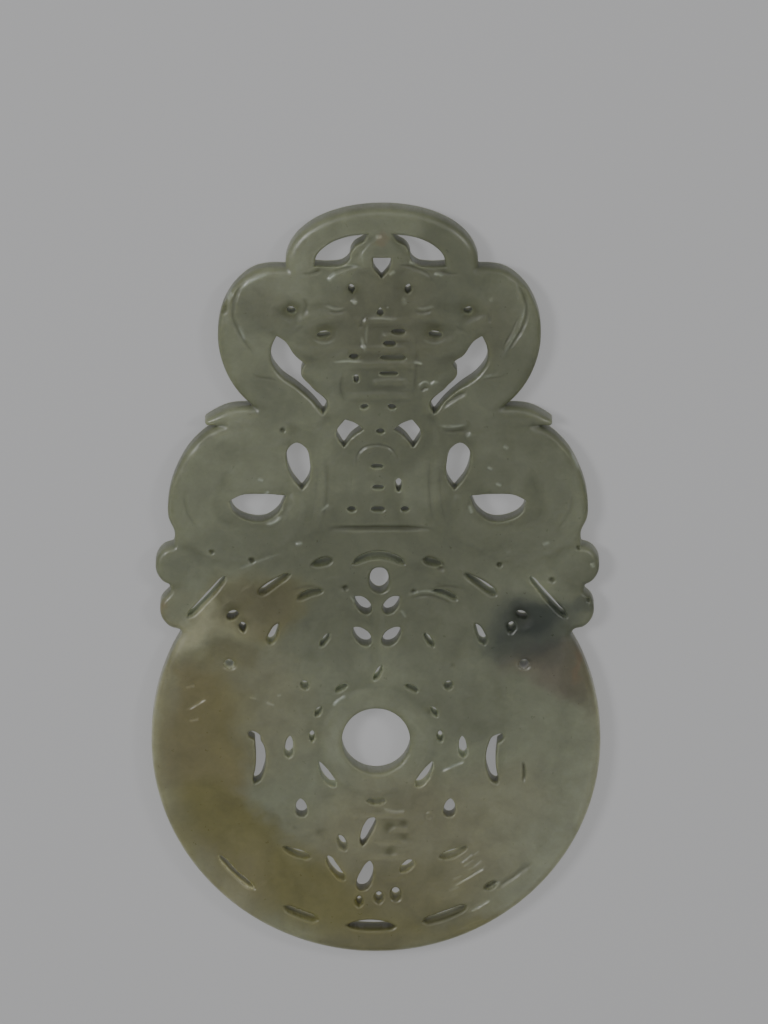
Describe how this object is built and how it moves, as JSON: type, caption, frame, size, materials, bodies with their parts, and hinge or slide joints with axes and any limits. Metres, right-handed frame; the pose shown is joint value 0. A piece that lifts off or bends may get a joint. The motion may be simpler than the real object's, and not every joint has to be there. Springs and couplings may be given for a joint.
{
  "type": "openwork jade pendant",
  "caption": "Pale grey-green jade pendant carved from one slab: a pierced disc with a round centre hole under a crest of facing coiled dragons and a hanging loop",
  "frame": {"origin": "Centre of the bounding box in X and Y, on the plane the pendant's back rests on", "axes": "+Y up the pendant from the disc to the loop, +X to the right seen from the carved front, +Z out of the carved front"},
  "size_m": [0.075, 0.131, 0.0046],
  "materials": {
    "jade": "softly polished translucent pale grey-green nephrite with ochre and dark grey-blue patches"
  },
  "bodies": {
    "root": {"jade_pendant": "jade"}
  },
  "joints": []
}
